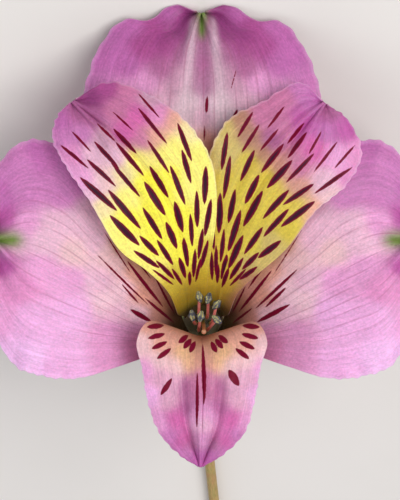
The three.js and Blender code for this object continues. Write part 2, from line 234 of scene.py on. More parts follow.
PAINT_LOWER_HALF = [
    (8.6, 0.2, "orange_pink"), (5.6, -0.9, "orange_pink"), (9.8, -3, "shell"), (3.6, -1.8, "orange_pink"),
    (3.2, -4.2, "apricot"), (2.4, -5.6, "apricot"), (6, -3.2, "peach"), (6.6, -5.4, "shell"),
    # The tan at (1.2, -3) is partly painted shade near the throat.
    (4.2, -6.2, "shell"), (9, -7, "candy"), (6.4, -8, "rosy"), (1.2, -3, "tan"),
    (1, -5.6, "orange_pink"), (1.2, -9.4, "rose_mauve"), (2.8, -9.4, "dusk"),
    (4.4, -9, "rosy"), (5.6, -11.4, "rosy"), (8, -11, "lilac"), (2.4, -13, "dusk"),
    (4.2, -14.6, "hot_pink"), (1.2, -14, "candy"), (6.8, -15.4, "candy"), (5.4, -17.4, "rose_lilac"),
    (3.2, -18, "hot_pink"), (1.6, -18.4, "mauve"), (0.9, -20.6, "orchid"), (3.2, -20, "rose_lilac"),
]
PAINT_LOWER_MIDDLE = [
    (0, -4, "orange_pink"), (0, -8, "rose_mauve"), (0, -15, "pale_pink"), (0, -18, "candy"),
    # The russet at the claw's foot is partly painted shade in the throat.
    (0, -21.4, "magenta"), (0, -2.6, "russet"),
]


def both_sides(half, middle):
    """Places on one half, the same on the other, and those in the middle."""
    return half + [(-u, v, colour) for u, v, colour in half] + middle


# Each tepal as the CAD model has it: clock is the angle of its foot on the ovary, midrib, left and
# right are (u, v) points at even steps from foot to tip, and cup and lift stand it forward.
TEPALS = {
    "outer_top": {
        "clock": 90, "depth": OUTER_FUNNEL,
        "midrib": [(0, 11), (0, 25), (0, 39), (-0.3, 48.8)],
        "left": [(-1.6, 4.4), (-2, 6), (-3.2, 8.5), (-5, 11.2), (-8, 14.4), (-11.5, 17.8),
                 (-14.9, 21.8), (-17.2, 26), (-18.5, 30.2), (-18.9, 34.5), (-17.9, 39.6),
                 (-15.9, 44.4), (-12.6, 47.9), (-8.5, 47.9), (-4.8, 50.3), (-1.3, 49.3)],
        "right": [(1.6, 4.4), (2, 6), (3.2, 8.5), (5, 11.2), (8, 14.4), (11.5, 17.8),
                  (14.8, 21.8), (17, 26), (18.2, 30.2), (18.5, 34.5), (17.6, 39.4),
                  (15.5, 44), (12.4, 47.6), (8.4, 47.8), (4.2, 50.2), (0.7, 49.3)],
        "cup": [0.3, 1, 0.6, -1.2, 0], "lift": [0, 0, 0, 0, 0],
        "streaks": STREAKS_TOP, "paint": both_sides(PAINT_TOP_HALF, PAINT_TOP_MIDDLE),
    },
    "outer_left": {
        "clock": 210, "depth": OUTER_FUNNEL,
        "midrib": [(-8.8, 0.4), (-17, 5.8), (-25.6, 10.6), (-32.4, 13.3)],
        "left": [(-4.7, -3.9), (-9, -5.2), (-14, -6.8), (-19.5, -8.3), (-25.2, -7.9),
                 (-30.2, -5.4), (-33.9, 3.5), (-32.5, 12.8)],
        "right": [(-5.2, 3.8), (-8.2, 9.3), (-12.6, 14.6), (-17.8, 21), (-22.5, 27.8),
                  (-28.6, 28.4), (-33.5, 22), (-32.4, 13.9)],
        "cup": [0.3, 0.8, 0.4, -1, 0], "lift": [0, 0.4, 1.4, 1.8, 1.4],
        "streaks": STREAKS_SIDE, "paint": PAINT_SIDE,
    },
    "inner_upper_left": {
        "clock": 150, "depth": INNER_FUNNEL,
        "midrib": [(-2.6, 8.4), (-5.4, 18.3), (-12.2, 27.8), (-20.2, 34.7)],
        "left": [(-4.2, 4.6), (-8.9, 8.6), (-13.2, 12), (-17.4, 19), (-21.1, 24.4),
                 (-23.3, 28.8), (-22.6, 32.4), (-20.7, 34.5)],
        "right": [(-0.6, 4.4), (1.2, 11.2), (2.1, 18.5), (1.2, 25.6), (-2.7, 31.6),
                  (-8.7, 35.9), (-14.8, 37.7), (-19.7, 35.1)],
        "cup": [0.2, 0.8, 0.2, -0.8, 0], "lift": [0, 1.2, 2.2, 1.6, 0.8],
        "streaks": STREAKS_UPPER, "paint": PAINT_UPPER_LEFT,
    },
    "inner_upper_right": {
        "clock": 30, "depth": INNER_FUNNEL,
        "midrib": [(3.3, 8.2), (7.6, 19.8), (13.2, 27.6), (18.8, 34.5)],
        "left": [(0.6, 4.5), (0.7, 11.8), (0.2, 19.5), (0.9, 26.3), (3.9, 31.9), (9.2, 34.7),
                 (14.8, 37.7), (18.4, 34.9)],
        "right": [(4.3, 4.6), (8.9, 8.3), (13, 12), (17.3, 17.6), (22.2, 21.8), (24.6, 26.8),
                  (22.4, 31.9), (19.3, 34.2)],
        "cup": [0.2, 0.6, 0, -0.8, 0], "lift": [0, 0, 0, 0.2, 0.4],
        "streaks": STREAKS_UPPER, "paint": PAINT_UPPER_RIGHT,
    },
    "inner_lower": {
        "clock": 270, "depth": LOWER_RISE,
        "midrib": [(-0.3, -2.5), (-0.2, -8.4), (-0.3, -15.6), (-0.4, -22.2)],
        "left": [(1.7, -2.6), (7.7, 0.5), (9.9, -2.4), (8.9, -6.4), (8, -11.5), (6.5, -16.6),
                 (3.1, -20.2), (0.1, -22)],
        "right": [(-1.7, -2.6), (-8, 0.6), (-10.3, -2.4), (-9.5, -6.6), (-8.6, -11.8),
                  (-6.8, -16.8), (-3.5, -20.4), (-0.9, -22)],
        "cup": [0.1, 1.4, -0.6, -1, 0], "lift": [0, 0, 0, 0, 0],
        "streaks": STREAKS_LOWER, "paint": both_sides(PAINT_LOWER_HALF, PAINT_LOWER_MIDDLE),
    },
}
ANTHERS = [
    ((2.1, 3.2, 0.8), -40), ((0.8, 4.2, 1.5), -15), ((-0.6, 4.4, 0.4), 14),
    ((-1.7, 1.5, 1.2), 10), ((-0.4, 1.4, 2.8), -12), ((2.1, 0.9, 2.2), 50),
]
# Each leaf: how far from the cut end it stands, its side, length, half width, angle from the stem,
# how far it curls in its plane and how high it arches.
LEAVES = [
    (47, 1, 30, 3.0, 52, -16, 4), (36, -1, 44, 4.0, 42, 26, 6),
    (26, 1, 52, 4.4, 34, 30, 6), (14, -1, 44, 3.8, 58, -20, 5),
]


# ---- shapes as whole arrays ----
def smooth(points, t):
    """A Catmull-Rom curve through points at even steps of t from 0 to 1: between two points it is
    the cubic whose slope at each is half the step between that point's neighbours."""
    p = np.asarray(points, float)
    p = p.reshape(len(p), -1)
    spans = len(p) - 1
    p = np.vstack([2 * p[0] - p[1], p, 2 * p[-1] - p[-2]])
    x = np.clip(t, 0, 1) * spans
    i = np.minimum(x.astype(int), spans - 1)
    f = (x - i)[..., None]
    before, start, end, after = (p[i + k] for k in range(4))
    into, out_of = (end - before) / 2, (after - start) / 2
    return (
        (2 * f**3 - 3 * f**2 + 1) * start
        + (f**3 - 2 * f**2 + f) * into
        + (3 * f**2 - 2 * f**3) * end
        + (f**3 - f**2) * out_of
    )


def step_up(x, low, high):
    """0 below low, 1 above high, with the cubic smooth step between."""
    f = np.clip((x - low) / (high - low), 0, 1)
    return f * f * (3 - 2 * f)


def bump_at(x, centre, width):
    """A bell curve of height 1."""
    return np.exp(-(((x - centre) / width) ** 2))


def funnel_depth(funnel, radius, spread=1.1):
    """The broken line of a funnel with its corners rounded: the mean of it over nearby radii."""
    radii, depths = np.array(funnel, float).T
    nearby = [np.interp(radius + d, radii, depths) for d in np.linspace(-spread, spread, 5)]
    return np.maximum(np.mean(nearby, axis=0), -BLOOM_DEPTH)


def mirrored(tepal):
    """The same tepal on the other side of the bloom."""
    flip = lambda rows: [(-row[0], *row[1:]) for row in rows]
    streaks = [dict(lay, across=tuple(-side for side in lay["across"])) for lay in tepal["streaks"]]
    return dict(tepal, clock=180 - tepal["clock"], midrib=flip(tepal["midrib"]),
                left=flip(tepal["right"]), right=flip(tepal["left"]),
                streaks=streaks, paint=flip(tepal["paint"]))


def foot_of(tepal, turn):
    angle = math.radians(tepal["clock"] + turn)
    return (CLAW_RING * math.cos(angle), CLAW_RING * math.sin(angle))


def tepal_points(tepal, s, q, margin=0.0):
    """(u, v, w) on a tepal at s from foot to tip and q across: the midrib's point moved towards the
    edge's by the size of q, at the depth of its funnel, with a cup that grows with q squared.
    margin moves the edges outwards in their plane."""
    midrib = smooth([foot_of(tepal, 0), *tepal["midrib"]], s)
    left = smooth([foot_of(tepal, CLAW_HALF_TURN), *tepal["left"]], s)
    right = smooth([foot_of(tepal, -CLAW_HALF_TURN), *tepal["right"]], s)
    edge = np.where((q < 0)[..., None], left, right)
    out = edge - midrib
    out = out / np.maximum(np.linalg.norm(out, axis=-1, keepdims=True), 1e-6)
    edge = edge + out * np.asarray(margin)[..., None]
    place = midrib + (edge - midrib) * np.abs(q)[..., None]
    if np.ndim(tepal["depth"][0]):
        depth = funnel_depth(tepal["depth"], np.hypot(place[..., 0], place[..., 1]))
    else:
        depth = smooth(tepal["depth"], s)[..., 0]
    w = depth + smooth(tepal["lift"], s)[..., 0] + smooth(tepal["cup"], s)[..., 0] * q**2
    return np.dstack([place, w])


def relief(name, s, q):
    """How far the living surface stands in front of the smooth one: ribs along the veins, a
    groove at the midrib, folds beside the tip and a wavy margin."""
    side = np.abs(q)
    seed = sum(map(ord, name))
    ribs = 0.05 * np.cos(q * 9 * math.pi + 0.6 * np.sin(5 * s)) * (1 - side**4) * step_up(s, 0.2, 0.4)
    ribs = ribs - 0.8 * (1 - step_up(s, 0, 0.05))
    wave = np.sin(s * 41 + seed + 2 * np.sign(q)) + 0.7 * np.sin(s * 73 + 2.1 * seed)
    wave = wave * (1 - 0.85 * step_up(s, 0.72, 0.95))
    if name == "inner_lower":
        frill = 0.12 * wave * side**8 * step_up(s, 0.35, 0.6)
        rib = 0.55 * bump_at(side, 0, 0.13) * step_up(s, 0.3, 0.5)
        grooves = -1.05 * bump_at(side, 0.34, 0.11) * step_up(s, 0.38, 0.75)
        seam = -0.35 * bump_at(q, -0.02, 0.03) * step_up(s, 0.3, 0.5)
        return ribs + frill + rib + grooves + seam
    if name.startswith("inner"):
        frill = 0.16 * wave * side**8 * step_up(s, 0.3, 0.6)
        groove = -0.5 * bump_at(q, 0, 0.06) * step_up(s, 0.15, 0.4)
        fold = 0.5 * bump_at(side, 0.16, 0.1) * step_up(s, 0.3, 0.6)
        tip = -0.9 * bump_at(side, 0.45, 0.3) * step_up(s, 0.85, 1)
        return ribs + frill + groove + fold + tip
    frill = 0.3 * wave * side**8 * step_up(s, 0.35, 0.6)
    groove = -0.35 * bump_at(q, 0, 0.05) * step_up(s, 0.3, 0.6)
    pale_folds = 1.1 * bump_at(side, 0.2, 0.08) * step_up(s, 0.68, 0.95)
    puckers = -1.5 * bump_at(side, 0.52, 0.16) * step_up(s, 0.78, 0.96)
    swell = 0.5 * np.sin(3 * q + 6 * s + seed) * side * step_up(s, 0.4, 0.7)
    return ribs + frill + groove + pale_folds + puckers + swell


def crenate(name, s, q):
    """How far the margin is nibbled in and out, in its plane."""
    size = 0.07 if name == "inner_lower" else 0.09
    seed = sum(map(ord, name))
    teeth = np.sin(171 * s + seed + 3 * np.sign(q) + 3 * np.sin(11 * s)) + 0.8 * np.sin(103 * s + 1.3 * seed)
    return size * teeth * step_up(s, 0.4, 0.6) * (1 - step_up(s, 0.93, 0.99))


def paint_at(places, u, v, softness):
    """The mean colour of all places, each weighted by one over its distance to the sixth, which a
    softness keeps from growing without end."""
    total = np.zeros(u.shape + (3,))
    weights = np.zeros(u.shape)
    for at_u, at_v, name in places:
        weight = ((u - at_u) ** 2 + (v - at_v) ** 2 + softness**2) ** -3
        total += weight[..., None] * linear(PETAL_COLOURS[name])
        weights += weight
    return total / weights[..., None]


def vein_streaks(tepal, lay):
    """Streaks as (u, v, u, v, width): dashes one after another on each vein line from foot to tip,
    every second line half a step further on, longer towards the tip and widest halfway, each a
    little off its even place. The outer lines end sooner, and a dash fans outwards as it goes."""
    line, dash = np.meshgrid(np.arange(lay["lines"]), np.arange(lay["dashes"]), indexing="ij")
    chance = np.random.default_rng(tepal["clock"] % 360)
    wander = lambda size: chance.uniform(-size, size, line.shape)
    side = np.interp(line, [0, lay["lines"] - 1], lay["across"]) + wander(0.03)
    begin = (dash + 0.5 * (line % 2) + wander(0.14)) / lay["dashes"]
    finish = begin + lay["fill"] * (1 + wander(0.2)) / lay["dashes"]
    first, last = lay["reach"]
    last = last - 0.12 * np.abs(side)
    along = lambda t: first + (last - first) * np.clip(t, 0, 1.04) ** 1.2
    outwards = lambda t, fan: np.clip(side * (0.88 + 0.2 * t) * fan, -STREAK_LIMIT, STREAK_LIMIT)
    start = tepal_points(tepal, along(begin), outwards(begin, 0.92))[..., :2]
    end = tepal_points(tepal, along(finish), outwards(finish, 1.14))[..., :2]
    halfway = np.clip((begin + finish) / 2, 0, 1)
    width = lay["width"] * (0.4 + 0.6 * np.sin(math.pi * halfway)) * (1 + wander(0.15))
    return np.dstack([start, end, width]).reshape(-1, 5)


def ear_streaks(ring):
    """A ring of streaks on each side that fan out from the throat."""
    angle = np.radians(np.linspace(*ring["angles"], ring["rays"]))
    ray = np.stack([np.cos(angle), np.sin(angle)], -1)
    near, far = ring["radii"]
    width = np.full((ring["rays"], 1), ring["width"])
    right = np.hstack([near * ray, far * ray, width])
    return np.vstack([right, right * [-1, 1, -1, 1, 1]])


def lay_streaks(name, tepal):
    """All the streaks of a tepal."""
    rings = EAR_RINGS if name == "inner_lower" else []
    return np.vstack([vein_streaks(tepal, lay) for lay in tepal["streaks"]]
                     + [ear_streaks(ring) for ring in rings])


def streak_field(streaks, u, v):
    """How far inside the nearest streak a point is, in millimetres, and below 0 outside: half the
    streak's width there, which narrows to both ends, less the distance to its middle line."""
    inside = np.full(u.shape, NO_STREAK)
    for u0, v0, u1, v1, width in streaks:
        run = np.array([u1 - u0, v1 - v0])
        length = np.hypot(*run)
        along = np.clip(((u - u0) * run[0] + (v - v0) * run[1]) / length**2, 0, 1)
        off = np.hypot(u - u0 - along * run[0], v - v0 - along * run[1])
        half = width / 2 * (1.02 - (2 * along - 1) ** 2) ** 0.7
        inside = np.maximum(inside, half - off)
    return inside


# ---- meshes ----
def to_row(points, origin):
    """Bloom millimetres to the row frame, in metres."""
    turn = np.array([BLOOM_U, BLOOM_V, BLOOM_W])
    return points @ turn * MM + origin


def grid_faces(rows, columns, start=0, flip=False, wrap=False):
    """Quads of a grid of rows by columns points; wrap joins the last column to the first."""
    r, c = np.meshgrid(np.arange(rows - 1), np.arange(columns - (0 if wrap else 1)), indexing="ij")
    here, across = r * columns + c, r * columns + (c + 1) % columns
    quads = np.stack([here, across, across + columns, here + columns], -1).reshape(-1, 4) + start
    return quads[:, ::-1] if flip else quads


def make_piece(name, points, faces, material, values=None, colours=None, flat_map=None):
    """A mesh object at the origin with its values and colours at the vertices and a flat map."""
    mesh = bpy.data.meshes.new(name)
    mesh.from_pydata(points.tolist(), [], [list(face) for face in faces])
    for key, array in (values or {}).items():
        layer = mesh.attributes.new(key, "FLOAT", "POINT")
        layer.data.foreach_set("value", np.asarray(array, np.float32).ravel())
    for key, array in (colours or {}).items():
        layer = mesh.attributes.new(key, "FLOAT_COLOR", "POINT")
        rgba = np.ones((len(points), 4), np.float32)
        rgba[:, :3] = array.reshape(-1, 3)
        layer.data.foreach_set("color", rgba.ravel())
    if flat_map is not None:
        corners = np.empty(len(mesh.loops), np.int32)
        mesh.loops.foreach_get("vertex_index", corners)
        mesh.uv_layers.new(name="sheet").data.foreach_set(
            "uv", flat_map.reshape(-1, 2)[corners].astype(np.float32).ravel())
    mesh.shade_smooth()
    mesh.update()
    piece = bpy.data.objects.new(name, mesh)
    bpy.context.scene.collection.objects.link(piece)
    mesh.materials.append(material)
    return piece


def sheet_mesh(front_centre, thickness):
    """A closed sheet about a surface given on a grid of rows from foot to tip and columns across:
    each point moved half the thickness there along the normal, both ways, and a rim all round."""
    rows, columns = front_centre.shape[:2]
    along = np.gradient(front_centre, axis=0)
    across = np.gradient(front_centre, axis=1)
    normal = np.cross(across, along)
    normal /= np.maximum(np.linalg.norm(normal, axis=-1, keepdims=True), 1e-12)
    half = thickness[..., None] / 2
    front, back = front_centre + normal * half, front_centre - normal * half
    count = rows * columns
    index = np.arange(count).reshape(rows, columns)
    border = np.concatenate([index[0, :-1], index[:-1, -1], index[-1, :0:-1], index[:0:-1, 0]])
    after = np.roll(border, -1)
    rim = np.stack([border, border + count, after + count, after], -1)
    faces = np.vstack([grid_faces(rows, columns), grid_faces(rows, columns, count, flip=True), rim])
    return np.vstack([front.reshape(-1, 3), back.reshape(-1, 3)]), faces


def rod_mesh(path, radius, side):
    """A closed rod: rings about the points of a path, of radius[row, column], square to it. side
    is a direction that the path never follows, and the ends are closed by one face each."""
    rows, columns = radius.shape
    tangent = np.gradient(path, axis=0)
    tangent /= np.linalg.norm(tangent, axis=1, keepdims=True)
    first = np.cross(tangent, side)
    first /= np.linalg.norm(first, axis=1, keepdims=True)
    second = np.cross(tangent, first)
    angle = np.linspace(0, 2 * math.pi, columns, endpoint=False)
    ring = np.cos(angle)[None, :, None] * first[:, None] + np.sin(angle)[None, :, None] * second[:, None]
    points = (path[:, None] + ring * radius[..., None]).reshape(-1, 3)
    faces = [list(face) for face in grid_faces(rows, columns, wrap=True)]
    faces.append(list(range(columns))[::-1])
    faces.append(list(range((rows - 1) * columns, rows * columns)))
    return points, faces


# ---- materials ----
class Finish:
    """A material under way: a Principled shader, and short calls that add and join nodes."""

    def __init__(self, name, roughness=0.5):
        self.material = bpy.data.materials.new(name)
        self.material.use_nodes = True
        self.tree = self.material.node_tree
        self.shader = self.tree.nodes["Principled BSDF"]
        self.shader.inputs["Roughness"].default_value = roughness

    def node(self, kind, settings=None, **inputs):
        made = self.tree.nodes.new(kind)
        for key, value in (settings or {}).items():
            setattr(made, key, value)
        for key, value in inputs.items():
            self.feed(made.inputs[key.replace("_", " ")], value)
        return made

    def feed(self, socket, value):
        if isinstance(value, bpy.types.NodeSocket):
            self.tree.links.new(value, socket)
        else:
            socket.default_value = value

    def maths(self, operation, *values):
        made = self.tree.nodes.new("ShaderNodeMath")
        made.operation = operation
        for socket, value in zip(made.inputs, values):
            self.feed(socket, value)
        return made.outputs[0]

    def value_of(self, attribute):
        return self.node("ShaderNodeAttribute", {"attribute_name": attribute}).outputs["Fac"]

    def colour_of(self, attribute):
        return self.node("ShaderNodeAttribute", {"attribute_name": attribute}).outputs["Color"]

    def ramp(self, value, low, high, to_low=0.0, to_high=1.0):
        made = self.node("ShaderNodeMapRange", {"interpolation_type": "SMOOTHSTEP"}, Value=value)
        for key, number in zip(("From Min", "From Max", "To Min", "To Max"), (low, high, to_low, to_high)):
            made.inputs[key].default_value = number
        return made.outputs["Result"]

    def mix(self, amount, first, second, blend="MIX"):
        made = self.node("ShaderNodeMix", {"data_type": "RGBA", "blend_type": blend})
        self.feed(made.inputs["Factor"], amount)
        for index, value in ((6, first), (7, second)):
            self.feed(made.inputs[index], value)
        return made.outputs[2]

    def noise(self, scale, detail=3.0, vector=None, roughness=0.55):
        """Noise over the object's own coordinates, or over a vector."""
        if vector is None:
            vector = self.node("ShaderNodeTexCoord").outputs["Object"]
        made = self.node("ShaderNodeTexNoise", None, Scale=scale, Detail=detail, Roughness=roughness)
        self.feed(made.inputs["Vector"], vector)
        return made.outputs["Fac"]

    def bump(self, height, strength, distance, under=None):
        made = self.node("ShaderNodeBump", None, Strength=strength, Distance=distance, Height=height)
        if under is not None:
            self.feed(made.inputs["Normal"], under)
        return made.outputs["Normal"]

    def along_veins(self, across_scale, along_scale):
        """The sheet's flat map stretched so that a noise on it runs in fibres from foot to tip."""
        flat = self.node("ShaderNodeUVMap", {"uv_map": "sheet"}).outputs["UV"]
        parts = self.node("ShaderNodeSeparateXYZ", None, Vector=flat)
        across = self.maths("MULTIPLY", parts.outputs["X"], across_scale)
        along = self.maths("MULTIPLY", parts.outputs["Y"], along_scale)
        return self.node("ShaderNodeCombineXYZ", None, X=across, Y=along).outputs[0], parts

    def soften(self, weight, depth_mm):
        """Light that soaks a little way into living tissue."""
        self.shader.inputs["Subsurface Weight"].default_value = weight
        self.shader.inputs["Subsurface Radius"].default_value = (1.0, 0.5, 0.45)
        self.shader.inputs["Subsurface Scale"].default_value = depth_mm * MM


def rgba(code):
    return (*linear(code), 1.0)


def petal_finish(name, vein_colour, vein_strength, vein_count):
    """Petal skin: painted colour with fibres and darker veins that run from foot to tip, a painted highlight
    along the margin, crisp streaks with a maroon edge and an aubergine core, and a faint sparkle of cells."""
    f = Finish(name, 0.45)
    fibre_place, parts = f.along_veins(95.0, 5.0)
    fibre = f.noise(1.0, 4.0, fibre_place, 0.6)
    band_place, _ = f.along_veins(26.0, 2.0)
    band = f.noise(1.0, 2.0, band_place)
    cells = f.noise(2600.0, 2.0)
    mottle = f.noise(330.0, 4.0)

    bright = f.maths("MULTIPLY_ADD", fibre, 0.5, 0.75)
    bright = f.maths("MULTIPLY", bright, f.maths("MULTIPLY_ADD", band, 0.3, 0.85))
    bright = f.maths("MULTIPLY", bright, f.maths("MULTIPLY_ADD", mottle, 0.26, 0.87))
    bright = f.maths("MULTIPLY", bright, f.ramp(cells, 0.25, 0.75, 0.9, 1.1))
    grain = f.noise(1.0, 2.0, f.along_veins(210.0, 42.0)[0])
    bright = f.maths("MULTIPLY", bright, f.ramp(grain, 0.2, 0.8, 0.92, 1.08))
    grey = f.node("ShaderNodeCombineColor", None, Red=bright, Green=bright, Blue=bright).outputs[0]
    colour = f.mix(1.0, f.colour_of("paint"), grey, "MULTIPLY")

    sway = f.maths("MULTIPLY_ADD", f.noise(1.0, 1.0, f.along_veins(3.0, 2.5)[0]), 1.1, -0.55)
    phase = f.maths("MULTIPLY_ADD", parts.outputs["X"], vein_count, sway)
    line = f.ramp(f.maths("PINGPONG", phase, 0.5), 0.0, 0.13, 1.0, 0.0)
    patchy = f.ramp(f.noise(1.0, 2.0, f.along_veins(9.0, 4.0)[0]), 0.35, 0.6)
    veins = f.maths("MULTIPLY", f.maths("MULTIPLY", line, patchy), f.value_of("veined"))
    colour = f.mix(f.maths("MULTIPLY", veins, vein_strength), colour, rgba(vein_colour))
    # Painted highlight: a pale pink band mixed in along the margin.
    colour = f.mix(f.maths("MULTIPLY", f.value_of("rim"), 0.22), colour, rgba("f0d2ee"))

    field = f.maths("ADD", f.value_of("streak"), f.maths("MULTIPLY_ADD", f.noise(1500.0), 0.16, -0.08))
    edge = f.ramp(field, -0.06, 0.05)
    core = f.maths("MULTIPLY", f.ramp(field, 0.14, 0.34), f.value_of("core"))
    colour = f.mix(edge, colour, rgba(STREAK_EDGE))
    colour = f.mix(core, colour, rgba(STREAK_CORE))
    f.feed(f.shader.inputs["Base Color"], colour)

    f.feed(f.shader.inputs["Roughness"], f.ramp(cells, 0.3, 0.7, 0.36, 0.56))
    skin = f.bump(cells, 0.35, 0.00006)
    skin = f.bump(fibre, 0.35, 0.00008, skin)
    skin = f.bump(line, 0.25, 0.00005, skin)
    f.feed(f.shader.inputs["Normal"], skin)
    f.feed(f.shader.inputs["Specular IOR Level"], f.maths("MULTIPLY_ADD", edge, -0.2, 0.3))
    f.soften(0.2, 0.4)
    return f.material


def filament_finish(name, foot, tip):
    """A thread of the flower's middle, of one colour at its foot and another towards its tip."""
    f = Finish(name, 0.4)
    mottle = f.noise(1400.0)
    colour = f.mix(f.ramp(f.value_of("along"), 0.15, 0.8), rgba(foot), rgba(tip))
    colour = f.mix(f.maths("MULTIPLY", f.ramp(mottle, 0.45, 0.7), 0.45), colour, rgba("b8484e"))
    f.feed(f.shader.inputs["Base Color"], colour)
    f.feed(f.shader.inputs["Roughness"], f.ramp(mottle, 0.3, 0.7, 0.3, 0.5))
    f.feed(f.shader.inputs["Normal"], f.bump(mottle, 0.2, 0.00005))
    f.soften(0.3, 0.6)
    return f.material


def anther_finish():
    """Slate-violet anther, with yellow-green pollen along the seams where it opens."""
    f = Finish("anther_slate", 0.7)
    grain = f.noise(5200.0, 2.0)
    mottle = f.noise(1300.0)
    body = f.mix(f.ramp(mottle, 0.35, 0.65), rgba("33364a"), rgba("6a6c70"))
    pollen = f.mix(f.ramp(grain, 0.4, 0.6), rgba("8a8038"), rgba("d2c678"))
    seam = f.maths("MULTIPLY", f.value_of("seam"), f.ramp(mottle, 0.4, 0.56, 0.08, 1.0))
    f.feed(f.shader.inputs["Base Color"], f.mix(seam, body, pollen))
    f.feed(f.shader.inputs["Roughness"], f.ramp(grain, 0.3, 0.7, 0.55, 0.9))
    f.feed(f.shader.inputs["Normal"], f.bump(grain, 0.6, 0.00012))
    return f.material


def green_finish(name, light, dark, blush, blush_amount, end, roughness):
    """Stem and ovary skin: two greens in long fibres, with a warm blush in patches, and an end of
    another colour."""
    f = Finish(name, roughness)
    place, _ = f.along_veins(34.0, 9.0)
    fibre = f.noise(1.0, 3.0, place)
    mottle = f.noise(420.0)
    colour = f.mix(f.ramp(fibre, 0.3, 0.7), rgba(dark), rgba(light))
    colour = f.mix(f.maths("MULTIPLY", f.ramp(mottle, 0.42, 0.7), blush_amount), colour, rgba(blush))
    colour = f.mix(f.value_of("end"), colour, rgba(end))
    f.feed(f.shader.inputs["Base Color"], colour)
    f.feed(f.shader.inputs["Roughness"], f.ramp(mottle, 0.3, 0.7, roughness - 0.08, roughness + 0.12))
    f.feed(f.shader.inputs["Normal"], f.bump(fibre, 0.35, 0.0001))
    f.soften(0.15, 0.6)
    return f.material


def leaf_finish():
    """Leaf: mid-green with many fine parallel veins, a paler midrib and a slightly waxy skin."""
    f = Finish("leaf_green", 0.42)
    place, parts = f.along_veins(60.0, 4.0)
    fibre = f.noise(1.0, 3.0, place)
    mottle = f.noise(260.0)
    colour = f.mix(f.ramp(fibre, 0.25, 0.75), rgba("3f6427"), rgba("6e9440"))
    colour = f.mix(f.ramp(mottle, 0.5, 0.8, 0.0, 0.35), colour, rgba("8aa04a"))
    phase = f.maths("MULTIPLY", parts.outputs["X"], 17.0)
    line = f.ramp(f.maths("PINGPONG", phase, 0.5), 0.0, 0.2, 1.0, 0.0)
    colour = f.mix(f.maths("MULTIPLY", line, 0.4), colour, rgba("9ab868"))
    middle = f.ramp(f.maths("ABSOLUTE", f.maths("SUBTRACT", parts.outputs["X"], 0.5)), 0.01, 0.04, 1.0, 0.0)
    colour = f.mix(f.maths("MULTIPLY", middle, 0.6), colour, rgba("b4c98a"))
    colour = f.mix(f.maths("MULTIPLY", f.value_of("dry"), 0.8), colour, rgba("a98a4c"))
    f.feed(f.shader.inputs["Base Color"], colour)
    f.feed(f.shader.inputs["Roughness"], f.ramp(mottle, 0.3, 0.7, 0.34, 0.5))
    f.feed(f.shader.inputs["Normal"], f.bump(line, 0.5, 0.00008, f.bump(fibre, 0.25, 0.00006)))
    f.soften(0.12, 0.5)
    return f.material


def floor_finish():
    """Plain pale matt board with the faintest mottle."""
    f = Finish("pale_board", 0.85)
    colour = f.mix(f.noise(40.0), rgba("e9e5e1"), rgba("efebe8"))
    f.feed(f.shader.inputs["Base Color"], colour)
    return f.material


# ---- where the bloom is: its CAD top tepal's box against the same surface drawn here ----
def bloom_origin():
    s, q = np.meshgrid(np.linspace(0, 1, 81), np.linspace(-1, 1, 41), indexing="ij")
    centres = []
    for name in ("outer_top", "outer_left", "outer_right"):
        tepal = mirrored(TEPALS["outer_left"]) if name == "outer_right" else TEPALS[name]
        points = to_row(tepal_points(tepal, s, q).reshape(-1, 3), 0)
        low, high = map(np.array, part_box(name))
        centres.append((low + high) / 2 - (points.min(0) + points.max(0)) / 2)
    return np.mean(centres, axis=0)


THROAT = bloom_origin()


def finished(piece, node):
    """Stands the piece for its CAD node, on the one body."""
    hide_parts(node)
    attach(piece, "root")
    return piece


# ---- tepals ----
ROWS, COLUMNS = 210, 150
CLAW_MARGIN = 1.05  # how much wider than its outline a tepal is, beside the throat
OUTER_TOP_SOFTNESS, SOFTNESS = 2.2, 1.7  # of the paint, in millimetres


